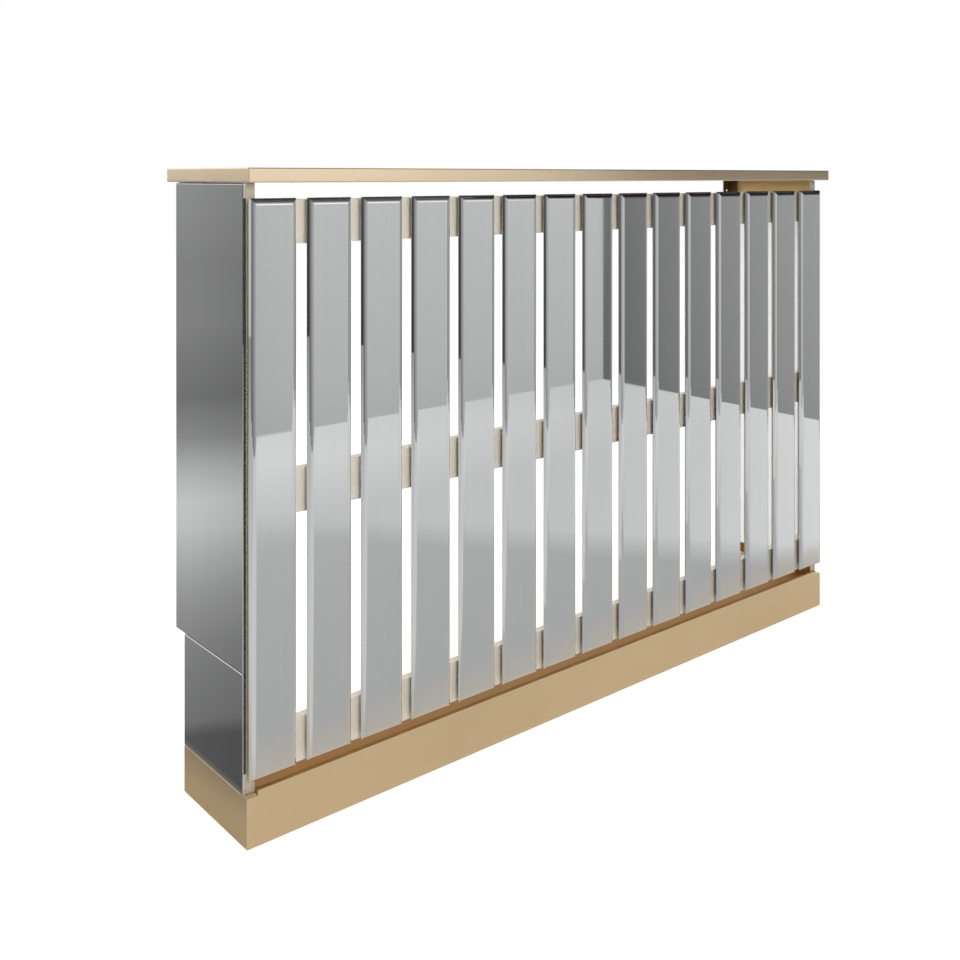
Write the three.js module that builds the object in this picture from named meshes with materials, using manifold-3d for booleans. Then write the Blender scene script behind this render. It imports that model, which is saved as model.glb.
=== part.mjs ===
// Mirrored radiator cover cabinet: a gold shelf, mirror-clad side boards and plinth, and a lift-off grille of
// upright mirror strips on three rails. Millimetres, +Z up, the front faces -Y.
// The origin is on the floor, in the middle of the cabinet's overall width and depth.
import * as THREE from "three";
import { mergeVertices } from "three/addons/utils/BufferGeometryUtils.js";
import Module from "manifold-3d";

const wasm = await Module();
wasm.setup();

// ---- Driving dimensions ----

// Carcass. Depths are measured backwards from the face of the plinth.
const bodyWidth = 1195;
const bodyDepth = 195;
const baseDepth = 170; // the plinth and the lower side boards stop short, to clear the skirting board
const skirtingClearance = 207; // height of the cut-out at the lower back
const shelfUnderside = 797; // height of the shelf's lower face
const shelfThickness = 18;
const shelfSideOverhang = 6;
const shelfFrontOverhang = 15;
const shelfBackOverhang = 15;
const shelfEase = 1.5; // rounding of the shelf's edges
const sideBoardThickness = 12;
const paneThickness = 4; // side mirror panes
const paneBevel = 3; // width of the rounded bevel along a pane's edges
const paneJoint = 1; // gap between the upper and the lower pane, and under the shelf

// Plinth.
const plinthHeight = 61;
const plinthThickness = 16;
const plinthEase = 1;
const lipHeight = 6; // upstand along the plinth's front top edge
const lipThickness = 4;
const lipEndGap = 14.5; // from the end of the plinth to the end of the lip
const ledgeDepth = 60; // board that closes the plinth behind its front
const ledgeThickness = 12;

// Grille.
const stripCount = 15;
const stripWidth = 65;
const stripThickness = 5;
const stripBevel = 9; // width of the rounded bevel along a strip's edges
const stripBevelDepth = 4.5;
const stripEndInset = 2; // from the side of the cabinet to the outer strip
const backingInset = 10; // how far the backing hides behind the edges of its strip
const backingThickness = 9.5;
const stripProud = 4.5; // how far the strips' faces stand in front of the plinth
const topVent = 19; // air gap between the strips and the shelf
const bottomVent = 13; // air gap between the plinth's lip and the strips
const railHeight = 55;
const railThickness = 12;
const railEase = 1;
const topRailDrop = 2; // top rail, below the top of the strips
const bottomRailDrop = 3; // bottom rail, below the bottom of the strips
const middleRailUnderside = 387; // height above the floor
const railEndClearance = 1.5; // between the end of a rail and the side board

// What the grille hangs on.
const cleatWidth = 18;
const cleatDepth = 16;
const cleatHeight = 46;
const pinDiameter = 8;
const pinSocketDepth = 9; // blind hole in the rail's back
const pinClearance = 0.3; // all round the pin, and at its tip
const catchWidth = 22;
const catchDepth = 14;
const catchHeight = 30;
const strikeWidth = 24;
const strikeHeight = 34;
const strikeThickness = 2;

// Corner brackets under the shelf, at the back.
const bracketThickness = 2;
const bracketSideLeg = 18; // along the side board, front to back
const bracketBackLeg = 22; // across the back
const bracketHeight = 40;
const bracketHole = 5;

// Fits.
const glueLine = 0.3; // bonded faces, and boards that meet
const seatGap = 0.3; // between the closed grille and what it rests against
const cutOvershoot = 1; // how far a cutter runs past the faces that it opens

// Fineness of the curved parts.
const roundSides = 16;
const bevelSteps = 4;
const easeSteps = 2;

// ---- Sizes that follow ----

const overallDepth = shelfFrontOverhang + bodyDepth + shelfBackOverhang;
const halfWidth = bodyWidth / 2;
const stripFront = -stripProud;
const backingFront = stripFront + stripThickness + glueLine;
const railFront = backingFront + backingThickness + glueLine;
const railBack = railFront + railThickness;
const boardFront = railFront; // front edges of the side boards
const boardOuter = halfWidth - paneThickness - glueLine;
const boardInner = boardOuter - sideBoardThickness;
const boardBottom = plinthHeight + glueLine;
const boardTop = shelfUnderside - glueLine;
const lipBottom = plinthHeight + glueLine;
const lipTop = lipBottom + lipHeight;
const stripBottom = lipTop + bottomVent;
const stripTop = shelfUnderside - topVent;
const stripPitch = (bodyWidth - 2 * stripEndInset - stripWidth) / (stripCount - 1);
const railLength = 2 * (boardInner - railEndClearance);
const topRailTop = stripTop - topRailDrop;
const bottomRailBottom = stripBottom - bottomRailDrop;
const cleatFront = railBack + seatGap;
const cleatCentreX = boardInner - glueLine - cleatWidth / 2;
const strikeFront = railBack + glueLine;
const catchFront = strikeFront + strikeThickness + seatGap;
const catchCentreX = boardInner - glueLine - catchWidth / 2;

// ---- Materials ----

const gold = new THREE.MeshStandardMaterial({ color: 0xc9ae86, roughness: 0.32, metalness: 0.35 });
const mirror = new THREE.MeshStandardMaterial({ color: 0xd5d7d8, roughness: 0.03, metalness: 1 });
const silverBacking = new THREE.MeshStandardMaterial({ color: 0x9a9a98, roughness: 0.5, metalness: 0.3 });
const steel = new THREE.MeshStandardMaterial({ color: 0xb4b6b8, roughness: 0.3, metalness: 1 });
const bronze = new THREE.MeshStandardMaterial({ color: 0x4a3a24, roughness: 0.45, metalness: 0.6 });
const darkPlastic = new THREE.MeshStandardMaterial({ color: 0x2b2926, roughness: 0.6, metalness: 0 });

// ---- Shapes ----

// A geometry as a solid for boolean work.
function solidOf(geometry) {
  const bare = geometry.clone();
  bare.deleteAttribute("normal");
  bare.deleteAttribute("uv");
  const merged = mergeVertices(bare, 1e-4);
  return new wasm.Manifold(
    new wasm.Mesh({
      numProp: 3,
      vertProperties: merged.attributes.position.array,
      triVerts: new Uint32Array(merged.index.array),
    }),
  );
}

// A solid back as a geometry.
function geometryOf(solid) {
  const { vertProperties, triVerts } = solid.getMesh();
  const geometry = new THREE.BufferGeometry();
  geometry.setAttribute("position", new THREE.BufferAttribute(new Float32Array(vertProperties), 3));
  geometry.setIndex(new THREE.BufferAttribute(new Uint32Array(triVerts), 1));
  geometry.computeVertexNormals();
  return geometry;
}

// A plain board between two corners.
function board([x0, x1], [y0, y1], [z0, z1]) {
  const geometry = new THREE.BoxGeometry(x1 - x0, y1 - y0, z1 - z0);
  return geometry.translate((x0 + x1) / 2, (y0 + y1) / 2, (z0 + z1) / 2);
}

// Turns an extrusion so that its outline, drawn in (depth, height), runs along +X.
function alongX(geometry) {
  return geometry.applyMatrix4(
    new THREE.Matrix4().makeBasis(
      new THREE.Vector3(0, 1, 0),
      new THREE.Vector3(0, 0, 1),
      new THREE.Vector3(1, 0, 0),
    ),
  );
}

// A board between two corners with all its edges slightly rounded.
function easedBoard([x0, x1], [y0, y1], [z0, z1], ease) {
  const outline = new THREE.Shape();
  const halfDepth = (y1 - y0) / 2 - ease;
  const halfHeight = (z1 - z0) / 2 - ease;
  outline.moveTo(-halfDepth, -halfHeight);
  outline.lineTo(halfDepth, -halfHeight);
  outline.lineTo(halfDepth, halfHeight);
  outline.lineTo(-halfDepth, halfHeight);
  const geometry = new THREE.ExtrudeGeometry(outline, {
    depth: x1 - x0 - 2 * ease,
    bevelSize: ease,
    bevelThickness: ease,
    bevelSegments: easeSteps,
  });
  alongX(geometry.translate(0, 0, ease - (x1 - x0) / 2));
  return geometry.translate((x0 + x1) / 2, (y0 + y1) / 2, (z0 + z1) / 2);
}

// A sheet of mirror glass standing on its lower edge, centred on X, its face at Y = 0 and its back at
// Y = thickness. A bevel with a quarter-ellipse section runs all round its face and meets in mitres.
function bevelledSheet(width, height, thickness, bevelWidth, bevelDepth) {
  const rings = [{ inset: 0, y: thickness }];
  for (let step = 0; step <= bevelSteps; step += 1) {
    const angle = (step / bevelSteps) * (Math.PI / 2);
    rings.push({ inset: bevelWidth * (1 - Math.cos(angle)), y: bevelDepth * (1 - Math.sin(angle)) });
  }
  const points = rings.flatMap(({ inset, y }) => [
    -width / 2 + inset, y, inset,
    width / 2 - inset, y, inset,
    width / 2 - inset, y, height - inset,
    -width / 2 + inset, y, height - inset,
  ]);
  const faces = [0, 2, 1, 0, 3, 2]; // the back
  for (let ring = 0; ring < rings.length - 1; ring += 1) {
    for (let corner = 0; corner < 4; corner += 1) {
      const next = (corner + 1) % 4;
      const [a, b] = [4 * ring + corner, 4 * ring + next];
      faces.push(a, b, b + 4, a, b + 4, a + 4);
    }
  }
  const last = 4 * (rings.length - 1);
  faces.push(last, last + 1, last + 2, last, last + 2, last + 3); // the face
  const geometry = new THREE.BufferGeometry();
  geometry.setAttribute("position", new THREE.Float32BufferAttribute(points, 3));
  geometry.setIndex(faces);
  geometry.computeVertexNormals();
  return geometry;
}

// A round bar along Y, from y0 to y1.
function barAlongY(x, z, y0, y1, diameter) {
  const geometry = new THREE.CylinderGeometry(diameter / 2, diameter / 2, y1 - y0, roundSides);
  return geometry.translate(x, (y0 + y1) / 2, z);
}

// ---- Assembly ----

const cabinet = new THREE.Group();
cabinet.position.y = shelfFrontOverhang - overallDepth / 2; // inside it, Y = 0 is the face of the plinth

function add(parent, name, geometry, material) {
  const mesh = new THREE.Mesh(geometry, material);
  mesh.name = name;
  parent.add(mesh);
  return mesh;
}

// The two sides are mirror images: side is -1 on the left and 1 on the right.
const sides = [
  { name: "left", side: -1 },
  { name: "right", side: 1 },
];
const spanX = (side, a, b) => [Math.min(side * a, side * b), Math.max(side * a, side * b)];

function addShelf() {
  const reach = halfWidth + shelfSideOverhang;
  const depth = [-shelfFrontOverhang, bodyDepth + shelfBackOverhang];
  const height = [shelfUnderside, shelfUnderside + shelfThickness];
  add(cabinet, "top_shelf", easedBoard([-reach, reach], depth, height, shelfEase), gold);
}

function addPlinth() {
  const frontBack = plinthThickness;
  const endFront = frontBack + glueLine;
  const frontBoard = easedBoard([-halfWidth, halfWidth], [0, frontBack], [0, plinthHeight], plinthEase);
  add(cabinet, "plinth_front", frontBoard, gold);
  const lipReach = halfWidth - lipEndGap;
  add(cabinet, "plinth_lip", board([-lipReach, lipReach], [0, lipThickness], [lipBottom, lipTop]), gold);
  for (const { name, side } of sides) {
    const endSpan = spanX(side, halfWidth - plinthThickness, halfWidth);
    add(cabinet, `plinth_end_${name}`, board(endSpan, [endFront, baseDepth], [0, plinthHeight]), gold);
  }
  const ledgeReach = halfWidth - plinthThickness - glueLine;
  const ledgeHeight = [plinthHeight - ledgeThickness, plinthHeight];
  add(
    cabinet,
    "plinth_ledge",
    board([-ledgeReach, ledgeReach], [endFront, endFront + ledgeDepth], ledgeHeight),
    gold,
  );
}

// A side board seen from the side: full depth above the skirting cut-out, base depth below it.
function sideBoardGeometry(side) {
  const outline = new THREE.Shape();
  outline.moveTo(boardFront, boardBottom);
  outline.lineTo(baseDepth, boardBottom);
  outline.lineTo(baseDepth, skirtingClearance);
  outline.lineTo(bodyDepth, skirtingClearance);
  outline.lineTo(bodyDepth, boardTop);
  outline.lineTo(boardFront, boardTop);
  const geometry = new THREE.ExtrudeGeometry(outline, { depth: sideBoardThickness, bevelEnabled: false });
  return alongX(geometry).translate(side > 0 ? boardInner : -boardOuter, 0, 0);
}

// A mirror pane on the outside of a side board, from the board's front edge back to the given depth.
function addPane(name, side, back, bottom, top) {
  const pane = bevelledSheet(back - boardFront, top - bottom, paneThickness, paneBevel, paneBevel);
  pane.rotateZ(side * (Math.PI / 2));
  const mesh = add(cabinet, name, pane, mirror);
  mesh.position.set(side * halfWidth, (boardFront + back) / 2, bottom);
}

function addSides() {
  for (const { name, side } of sides) {
    add(cabinet, `side_board_${name}`, sideBoardGeometry(side), gold);
    addPane(`side_mirror_upper_${name}`, side, bodyDepth, skirtingClearance, boardTop - paneJoint);
    addPane(`side_mirror_lower_${name}`, side, baseDepth, boardBottom, skirtingClearance - paneJoint);
  }
}

// A corner brace with three plates: on the side board, across the back and under the shelf.
function bracketGeometry(side) {
  const face = boardInner - glueLine;
  const inner = face - bracketBackLeg;
  const front = bodyDepth - bracketSideLeg;
  const backFace = bodyDepth - bracketThickness;
  const height = [boardTop - bracketHeight, boardTop];
  const overBack = [backFace, bodyDepth];
  const sideLeg = board(spanX(side, face - bracketThickness, face), [front, bodyDepth], height);
  const backLeg = board(spanX(side, inner, face), overBack, height);
  const topLeg = board(spanX(side, inner, face), [front, bodyDepth], [boardTop - bracketThickness, boardTop]);
  const hole = barAlongY(
    side * (inner + (bracketBackLeg - bracketThickness) / 2),
    boardTop - bracketHeight / 2,
    backFace - cutOvershoot,
    bodyDepth + cutOvershoot,
    bracketHole,
  );
  return geometryOf(solidOf(sideLeg).add(solidOf(backLeg)).add(solidOf(topLeg)).subtract(solidOf(hole)));
}

function addBrackets() {
  for (const { name, side } of sides) {
    add(cabinet, `corner_bracket_${name}`, bracketGeometry(side), bronze);
  }
}

// Heights of the middle of the two rails that hang on pins.
const pinnedRails = [
  { name: "top", centre: topRailTop - railHeight / 2 },
  { name: "bottom", centre: bottomRailBottom + railHeight / 2 },
];
const socketDiameter = pinDiameter + 2 * pinClearance;

// A cleat on the side board behind the end of a rail, with the hole that its pin is fixed in.
function addCleatAndPin(railName, centre, sideName, side) {
  const x = side * cleatCentreX;
  const cleatBack = cleatFront + cleatDepth;
  const height = [centre - cleatHeight / 2, centre + cleatHeight / 2];
  const block = board([x - cleatWidth / 2, x + cleatWidth / 2], [cleatFront, cleatBack], height);
  const hole = barAlongY(x, centre, cleatFront - cutOvershoot, cleatBack + cutOvershoot, socketDiameter);
  const cleat = geometryOf(solidOf(block).subtract(solidOf(hole)));
  add(cabinet, `grille_cleat_${railName}_${sideName}`, cleat, gold);
  const pinTip = railBack - pinSocketDepth + pinClearance;
  const pin = barAlongY(x, centre, pinTip, cleatBack, pinDiameter);
  add(cabinet, `grille_pin_${railName}_${sideName}`, pin, steel);
}

// A magnetic catch on the side board behind the end of the middle rail, and its strike plate on the rail.
function addCatch(sideName, side) {
  const centre = middleRailUnderside + railHeight / 2;
  const x = side * catchCentreX;
  const body = board(
    [x - catchWidth / 2, x + catchWidth / 2],
    [catchFront, catchFront + catchDepth],
    [centre - catchHeight / 2, centre + catchHeight / 2],
  );
  add(cabinet, `magnetic_catch_${sideName}`, body, darkPlastic);
  const strikeEdge = boardInner - railEndClearance - glueLine;
  const plate = board(
    spanX(side, strikeEdge - strikeWidth, strikeEdge),
    [strikeFront, strikeFront + strikeThickness],
    [centre - strikeHeight / 2, centre + strikeHeight / 2],
  );
  add(grille, `strike_plate_${sideName}`, plate, steel);
}

// The grille is one lift-off panel, so its pieces share a group.
const grille = new THREE.Group();
cabinet.add(grille);

function addStrips() {
  const firstCentre = -halfWidth + stripEndInset + stripWidth / 2;
  const height = stripTop - stripBottom;
  const backingWidth = stripWidth - 2 * backingInset;
  for (let index = 0; index < stripCount; index += 1) {
    const x = firstCentre + index * stripPitch;
    const number = String(index + 1).padStart(2, "0");
    const sheet = bevelledSheet(stripWidth, height, stripThickness, stripBevel, stripBevelDepth);
    add(grille, `mirror_strip_${number}`, sheet, mirror).position.set(x, stripFront, stripBottom);
    const backing = board(
      [x - backingWidth / 2, x + backingWidth / 2],
      [backingFront, backingFront + backingThickness],
      [stripBottom + backingInset, stripTop - backingInset],
    );
    add(grille, `strip_backing_${number}`, backing, silverBacking);
  }
}

function addRails() {
  const length = [-railLength / 2, railLength / 2];
  const depth = [railFront, railBack];
  for (const { name, centre } of pinnedRails) {
    const rail = easedBoard(length, depth, [centre - railHeight / 2, centre + railHeight / 2], railEase);
    let solid = solidOf(rail);
    for (const { side } of sides) {
      const socket = barAlongY(
        side * cleatCentreX,
        centre,
        railBack - pinSocketDepth,
        railBack + cutOvershoot,
        socketDiameter,
      );
      solid = solid.subtract(solidOf(socket));
    }
    add(grille, `rail_${name}`, geometryOf(solid), gold);
  }
  const middle = [middleRailUnderside, middleRailUnderside + railHeight];
  add(grille, "rail_middle", easedBoard(length, depth, middle, railEase), gold);
}

addShelf();
addPlinth();
addSides();
addBrackets();
addStrips();
addRails();
for (const { name: sideName, side } of sides) {
  for (const { name: railName, centre } of pinnedRails) {
    addCleatAndPin(railName, centre, sideName, side);
  }
  addCatch(sideName, side);
}

export default cabinet;
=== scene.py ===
"""Looks of a mirrored radiator cover cabinet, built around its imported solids.

Metres, +Z up, the front faces -Y. The cabinet carries a gold shelf and plinth, mirror-clad side boards and
the fittings of the grille. The grille is one lift-off panel of bevelled mirror strips on three gold rails.
"""

import logging
import math
from dataclasses import dataclass, field
from enum import Enum
from typing import Callable, Iterable, Sequence

import bmesh
import bpy
from mathutils import Matrix, Vector


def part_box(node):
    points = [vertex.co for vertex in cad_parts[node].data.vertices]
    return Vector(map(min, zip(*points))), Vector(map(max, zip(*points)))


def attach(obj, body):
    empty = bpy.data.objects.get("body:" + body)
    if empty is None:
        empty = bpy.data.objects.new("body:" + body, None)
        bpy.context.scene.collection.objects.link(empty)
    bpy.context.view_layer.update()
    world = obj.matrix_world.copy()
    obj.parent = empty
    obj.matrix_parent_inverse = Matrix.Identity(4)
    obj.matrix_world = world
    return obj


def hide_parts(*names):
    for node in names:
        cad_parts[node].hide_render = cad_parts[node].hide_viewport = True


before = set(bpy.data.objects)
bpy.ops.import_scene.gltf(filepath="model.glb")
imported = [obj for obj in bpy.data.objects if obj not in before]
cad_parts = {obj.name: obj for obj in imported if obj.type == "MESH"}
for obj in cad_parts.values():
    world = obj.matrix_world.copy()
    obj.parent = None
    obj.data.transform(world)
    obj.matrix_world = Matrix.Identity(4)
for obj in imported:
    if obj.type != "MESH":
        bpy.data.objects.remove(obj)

LOG = logging.getLogger("radiator_cover")
MM = 0.001
SQUARE_ON = 0.9
SHARP_ANGLE = 0.3
SEAM_TOLERANCE = 0.01 * MM
BLACK = (0.0, 0.0, 0.0, 1.0)
WHITE = (1.0, 1.0, 1.0, 1.0)

Colour = tuple[float, float, float]
Tones = tuple[tuple[float, float], ...]
Plane = tuple[int, float]
Value = bpy.types.NodeSocket | float | int | bool | tuple


# ---- Names of bodies, slots and sides ----


class Body(Enum):
    """The two bodies of the frame."""

    CABINET = "cabinet"
    GRILLE = "grille"


class Slot(Enum):
    """The material slots of the record."""

    GOLD = "gold_lacquer"
    MIRROR = "mirror_glass"
    BACKING = "silver_backing"
    BRONZE = "bronze_steel"
    PLASTIC = "catch_plastic"
    STEEL = "bright_steel"


class Facing(Enum):
    """The way that a fastener's head faces."""

    FRONT = (0.0, -1.0, 0.0)
    BACK = (0.0, 1.0, 0.0)
    LEFT = (-1.0, 0.0, 0.0)
    RIGHT = (1.0, 0.0, 0.0)
    DOWN = (0.0, 0.0, -1.0)


class Side(Enum):
    """The two ends of the cabinet; the value is the sign of X."""

    LEFT = -1
    RIGHT = 1

    @property
    def word(self) -> str:
        """The side as it stands in node names."""
        return self.name.lower()

    @property
    def inward(self) -> Facing:
        """The way from this end to the middle."""
        return Facing.LEFT if self is Side.RIGHT else Facing.RIGHT


# ---- Node trees ----


class Sketch:
    """Writes a node tree: adds nodes, and joins them or sets their values in one call."""

    def __init__(self, tree: bpy.types.NodeTree) -> None:
        """Starts on an empty tree.

        Args:
            tree: A shader or geometry node tree.
        """
        self.tree = tree
        self.tree.nodes.clear()

    def put(self, socket: bpy.types.NodeSocket, value: Value) -> None:
        """Links a socket, or sets its default.

        Args:
            socket: The input to feed.
            value: Another node's output, or a plain value.
        """
        if isinstance(value, bpy.types.NodeSocket):
            self.tree.links.new(value, socket)
        else:
            socket.default_value = value

    def feed(self, node: bpy.types.Node, inputs: dict[str | int, Value]) -> None:
        """Links or sets several inputs of a node, by name or place."""
        for key, value in inputs.items():
            self.put(node.inputs[key], value)

    def add(
        self, kind: str, inputs: dict[str | int, Value] | None = None, **settings: object
    ) -> bpy.types.Node:
        """Adds a node.

        Args:
            kind: The node's type.
            inputs: Values or outputs for its inputs, by name or place.
            **settings: The node's own properties.

        Returns:
            The new node.
        """
        node = self.tree.nodes.new(kind)
        for name, value in settings.items():
            setattr(node, name, value)
        self.feed(node, inputs or {})
        return node

    def result(
        self, kind: str, inputs: dict[str | int, Value] | None = None, **settings: object
    ) -> bpy.types.NodeSocket:
        """Adds a node and gives its first output."""
        return self.add(kind, inputs, **settings).outputs[0]

    def calc(self, operation: str, *values: Value) -> bpy.types.NodeSocket:
        """A Math node's result, for an operation such as ADD on one to three values."""
        return self.result("ShaderNodeMath", dict(enumerate(values)), operation=operation)

    def choose(self, factor: Value, first: Value, second: Value) -> bpy.types.NodeSocket:
        """The first number where the factor is 0, the second where it is 1."""
        return self.result("ShaderNodeMix", {0: factor, 2: first, 3: second}, data_type="FLOAT")

    def join(self, **parts: Value) -> bpy.types.NodeSocket:
        """A vector from its X, Y and Z; the ones left out are 0."""
        return self.result("ShaderNodeCombineXYZ", parts)

    def split(self, vector: Value) -> bpy.types.NodeOutputs:
        """A vector's X, Y and Z."""
        return self.add("ShaderNodeSeparateXYZ", {0: vector}).outputs


class ShaderSketch(Sketch):
    """Writes a material's or the world's nodes."""

    def place(self) -> bpy.types.NodeSocket:
        """Object coordinates, in metres from the cabinet's origin."""
        return self.add("ShaderNodeTexCoord").outputs["Object"]

    def stretched(self, scale: Sequence[float]) -> bpy.types.NodeSocket:
        """Object coordinates multiplied axis by axis."""
        return self.result("ShaderNodeMapping", {"Vector": self.place(), "Scale": tuple(scale)})

    def distance(self, vector: Value, point: Sequence[float]) -> bpy.types.NodeSocket:
        """How far a vector is from a fixed point."""
        node = self.add("ShaderNodeVectorMath", {0: vector, 1: tuple(point)}, operation="DISTANCE")
        return node.outputs["Value"]

    def noise(
        self, vector: Value, scale: float, detail: float = 3.0, roughness: float = 0.5
    ) -> bpy.types.NodeSocket:
        """Smooth noise from 0 to 1.

        Args:
            vector: Where it is read.
            scale: Its bumps per metre.
            detail: Its octaves.
            roughness: How much each octave adds.

        Returns:
            The noise value.
        """
        inputs = {"Vector": vector, "Scale": scale, "Detail": detail, "Roughness": roughness}
        return self.result("ShaderNodeTexNoise", inputs)

    def spread(
        self, value: Value, low: float, high: float, start: float = 0.0, stop: float = 1.0
    ) -> bpy.types.NodeSocket:
        """A value moved from one range to another, and held inside it.

        Args:
            value: The value.
            low: The result at start.
            high: The result at stop.
            start: The value's lower end.
            stop: The value's upper end.

        Returns:
            The result.
        """
        inputs = {"Value": value, "From Min": start, "From Max": stop, "To Min": low, "To Max": high}
        return self.result("ShaderNodeMapRange", inputs)

    def share(self, value: Value, start: float, stop: float) -> bpy.types.NodeSocket:
        """How far a value has come from start to stop, from 0 to 1."""
        return self.spread(value, 0.0, 1.0, start, stop)

    def ramp(self, value: Value, stops: Iterable[tuple[float, float]]) -> bpy.types.NodeSocket:
        """A grey ramp.

        Args:
            value: The value, from 0 to 1.
            stops: Pairs of position and level.

        Returns:
            The ramp's colour.
        """
        node = self.add("ShaderNodeValToRGB", {0: value})
        elements = node.color_ramp.elements
        stops = list(stops)
        while len(elements) < len(stops):
            elements.new(1.0)
        for element, (position, level) in zip(elements, stops):
            element.position = position
            element.color = (level, level, level, 1.0)
        return node.outputs[0]

    def mix(self, factor: Value, first: Value, second: Value, blend: str = "MIX") -> bpy.types.NodeSocket:
        """Two colours mixed.

        Args:
            factor: 0 gives the first, 1 the second.
            first: A colour.
            second: A colour.
            blend: How they mix.

        Returns:
            The mixed colour.
        """
        inputs = {0: factor, 6: first, 7: second}
        return self.add("ShaderNodeMix", inputs, data_type="RGBA", blend_type=blend).outputs[2]

    def shade(
        self, value: Value, base: Colour, low: float, high: float, start: float = 0.3
    ) -> bpy.types.NodeSocket:
        """A colour that a pattern makes lighter and darker.

        Args:
            value: The pattern, from 0 to 1.
            base: The colour.
            low: The colour's gain where the pattern is low.
            high: Its gain where the pattern is high.
            start: Where the pattern begins to count as high.

        Returns:
            The shaded colour.
        """
        return self.mix(self.share(value, start, 0.7), rgb(base, low), rgb(base, high))

    def bump(self, height: Value, distance: float, strength: float) -> bpy.types.NodeSocket:
        """A bumped normal.

        Args:
            height: The relief, from 0 to 1.
            distance: Its depth in metres.
            strength: How much of it shows.

        Returns:
            The normal.
        """
        inputs = {"Height": height, "Distance": distance, "Strength": strength}
        return self.result("ShaderNodeBump", inputs)

    def by_ray(self, plain: Value, mirrored: Value, seen: Value) -> bpy.types.NodeSocket:
        """A stage surface that differs between light, reflections and the camera.

        Args:
            plain: The shader that lights the object.
            mirrored: The shader that reflections show.
            seen: The shader for the camera and for rays through glass.

        Returns:
            The mixed shader.
        """
        path = self.add("ShaderNodeLightPath").outputs
        direct = self.calc("MAXIMUM", path["Is Camera Ray"], path["Is Transmission Ray"])
        lit = self.result("ShaderNodeMixShader", {0: path["Is Glossy Ray"], 1: plain, 2: mirrored})
        return self.result("ShaderNodeMixShader", {0: direct, 1: lit, 2: seen})


def rgb(colour: Colour, gain: float = 1.0) -> tuple[float, float, float, float]:
    """A linear colour with alpha, made lighter or darker by a gain."""
    return (colour[0] * gain, colour[1] * gain, colour[2] * gain, 1.0)


def blank_material(name: str) -> tuple[bpy.types.Material, ShaderSketch]:
    """A material without nodes, and the writer for its tree.

    Args:
        name: The material's name.

    Returns:
        The material and the writer.
    """
    material = bpy.data.materials.new(name)
    material.use_nodes = True
    return material, ShaderSketch(material.node_tree)


# ---- Finishes ----


class Finish:
    """A finish that makes its Blender material once and keeps it."""

    def __init__(self, name: str, write: Callable[[ShaderSketch, bpy.types.Node], None]) -> None:
        """Holds the finish's name and its writer.

        Args:
            name: The material's name.
            write: Fills the tree around its Principled BSDF.
        """
        self.name = name
        self.write = write
        self._made: bpy.types.Material | None = None

    @property
    def material(self) -> bpy.types.Material:
        """The material, made at first use.

        Returns:
            The material.
        """
        if self._made is None:
            self._made, sketch = blank_material(self.name)
            surface = sketch.add("ShaderNodeBsdfPrincipled")
            self.write(sketch, surface)
            sketch.add("ShaderNodeOutputMaterial", {"Surface": surface.outputs[0]})
        return self._made


@dataclass(frozen=True)
class GoldLacquer:
    """Champagne-gold metallic lacquer with a fine fleck under a thin clear coat, sprayed on board."""

    base: Colour = (0.80, 0.635, 0.415)
    metallic: float = 0.87
    roughness: float = 0.33
    coat: float = 0.35
    coat_roughness: float = 0.18
    fleck_per_metre: float = 2600.0
    cloud_per_metre: float = 5.0
    peel_per_metre: float = 420.0
    relief: float = 0.04 * MM

    def write(self, sketch: ShaderSketch, surface: bpy.types.Node) -> None:
        """Fills the lacquer's nodes.

        Args:
            sketch: The material's writer.
            surface: Its Principled BSDF.
        """
        place = sketch.place()
        fleck = sketch.noise(place, self.fleck_per_metre, detail=1.0)
        cloud = sketch.noise(place, self.cloud_per_metre, detail=4.0, roughness=0.55)
        peel = sketch.noise(place, self.peel_per_metre, detail=2.0)
        clouded = sketch.shade(cloud, self.base, 0.96, 1.03)
        flecked = sketch.mix(sketch.spread(fleck, 0.0, 0.35, 0.5, 0.8), clouded, rgb(self.base, 1.2))
        inputs = {
            "Base Color": flecked,
            "Metallic": self.metallic,
            "Roughness": sketch.spread(cloud, self.roughness - 0.04, self.roughness + 0.05, 0.3, 0.7),
            "Coat Weight": self.coat,
            "Coat Roughness": self.coat_roughness,
            "Normal": sketch.bump(sketch.calc("ADD", fleck, peel), self.relief, 0.35),
        }
        sketch.feed(surface, inputs)


@dataclass(frozen=True)
class MirrorGlass:
    """Silvered glass with faint roller waves and a trace of haze."""

    base: Colour = (0.80, 0.805, 0.81)
    roughness: float = 0.012
    haze: float = 0.03
    streaks_per_metre: Colour = (340.0, 340.0, 3.0)
    smears_per_metre: float = 7.0
    waves_per_metre: float = 2.2
    relief: float = 0.08 * MM

    def write(self, sketch: ShaderSketch, surface: bpy.types.Node) -> None:
        """Fills the mirror's nodes.

        Args:
            sketch: The material's writer.
            surface: Its Principled BSDF.
        """
        streaks = sketch.noise(sketch.stretched(self.streaks_per_metre), 1.0, detail=2.0)
        smear = sketch.noise(sketch.place(), self.smears_per_metre, detail=5.0, roughness=0.6)
        waves = sketch.noise(sketch.stretched((1.0, 1.0, 0.25)), self.waves_per_metre, detail=0.0)
        inputs = {
            "Base Color": sketch.shade(streaks, self.base, 0.985, 1.01),
            "Metallic": 1.0,
            "Roughness": sketch.spread(smear, self.roughness, self.roughness + self.haze, 0.4, 0.8),
            "Normal": sketch.bump(waves, self.relief, 0.5),
        }
        sketch.feed(surface, inputs)


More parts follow.
